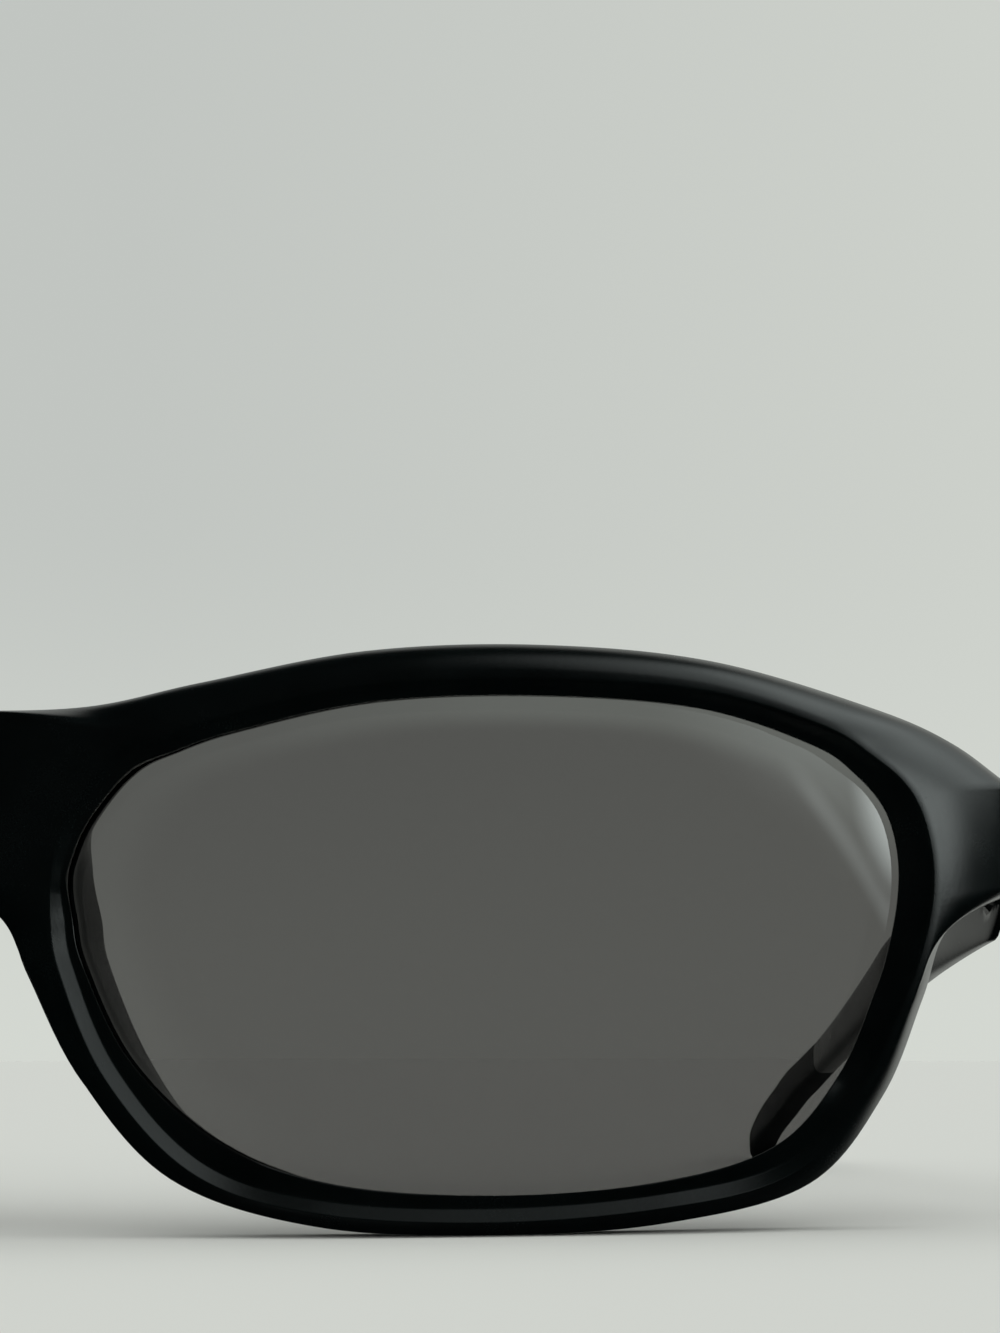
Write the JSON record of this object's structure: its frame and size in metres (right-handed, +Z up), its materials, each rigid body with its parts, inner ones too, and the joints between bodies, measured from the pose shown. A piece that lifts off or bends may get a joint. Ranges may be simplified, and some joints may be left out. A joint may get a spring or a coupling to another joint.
{
  "type": "wraparound sunglasses",
  "caption": "Wraparound full-rim sunglasses with smoke grey laminated polarised lenses, a matte black moulded front and folding temples with soft ear grips.",
  "frame": {"origin": "on the floor plane, at the middle of the footprint: halfway between the two temples and halfway from the front of the rims to the temple tips", "axes": "+Z up; -Y is the way the wearer looks, so the temples run back along +Y; +X is the wearer's left"},
  "size_m": [0.1476, 0.1448, 0.0403],
  "materials": {
    "frame": "matte black moulded nylon with a faint soft-touch sheen",
    "soft_rubber": "matte black thermoplastic rubber",
    "lens_layer": "polished smoke grey optical plastic",
    "lens_film": "dark grey polarising film",
    "steel": "satin stainless steel",
    "screw_steel": "turned stainless steel, slotted head"
  },
  "bodies": {
    "front": {"front_frame": "frame", "lens_left_front_ply": "lens_layer", "lens_left_film": "lens_film", "lens_left_back_ply": "lens_layer", "nose_pad_left": "soft_rubber", "hinge_front_leaf_left": "steel", "hinge_screw_left": "screw_steel", "front_rivets_left": "steel", "lens_right_front_ply": "lens_layer", "lens_right_film": "lens_film", "lens_right_back_ply": "lens_layer", "nose_pad_right": "soft_rubber", "hinge_front_leaf_right": "steel", "hinge_screw_right": "screw_steel", "front_rivets_right": "steel"},
    "left_arm": {"temple_left": "frame", "temple_grip_left": "soft_rubber", "hinge_temple_leaf_left": "steel", "temple_rivets_left": "steel"},
    "right_arm": {"temple_right": "frame", "temple_grip_right": "soft_rubber", "hinge_temple_leaf_right": "steel", "temple_rivets_right": "steel"}
  },
  "joints": [
    {"name": "left_temple_fold", "type": "hinge", "parent": "front", "child": "left_arm", "pos_m": [0.0679, -0.0437, 0.02809], "axis": [0, 0, 1], "range_deg": [0, 90]},
    {"name": "right_temple_fold", "type": "hinge", "parent": "front", "child": "right_arm", "pos_m": [-0.0679, -0.0437, 0.02809], "axis": [0, 0, -1], "range_deg": [0, 82]}
  ]
}
